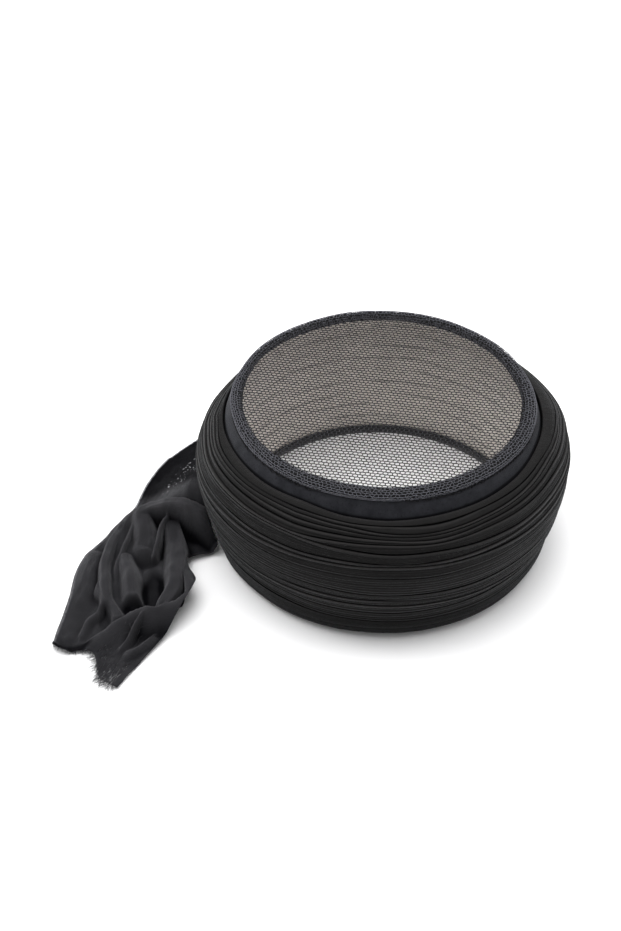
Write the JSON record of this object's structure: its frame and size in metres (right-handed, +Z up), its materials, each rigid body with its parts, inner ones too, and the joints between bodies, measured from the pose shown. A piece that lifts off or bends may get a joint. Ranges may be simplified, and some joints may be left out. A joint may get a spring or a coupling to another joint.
{
  "type": "turban",
  "caption": "Ready-wound turban on a stiff open cap, with a net crown, a smooth band round the rim, pleated winding and a free cloth end lying beside it.",
  "frame": {"origin": "bottom centre of the whole, the turban and its free end, on the surface that it rests on", "axes": "+X across, from the free end of the cloth to the turban; +Z up through the net crown; the front of the turban faces -Y"},
  "size_m": [0.3128, 0.271, 0.1016],
  "materials": {
    "net": "black hexagonal net of twisted thread",
    "hem": "black padded hem",
    "lining": "stiff warm grey cloth, matt",
    "band": "smooth charcoal cotton",
    "wound_chiffon": "black crinkled chiffon in fine pleats",
    "binding": "black binding",
    "tail_gauze": "soft black gauze, partly see-through"
  },
  "bodies": {
    "root": {"net_crown": "net", "crown_hem": "hem", "cap_wall": "lining", "rim_band": "band", "wound_cloth": "wound_chiffon", "base_binding": "binding", "tail": "tail_gauze"}
  },
  "joints": []
}
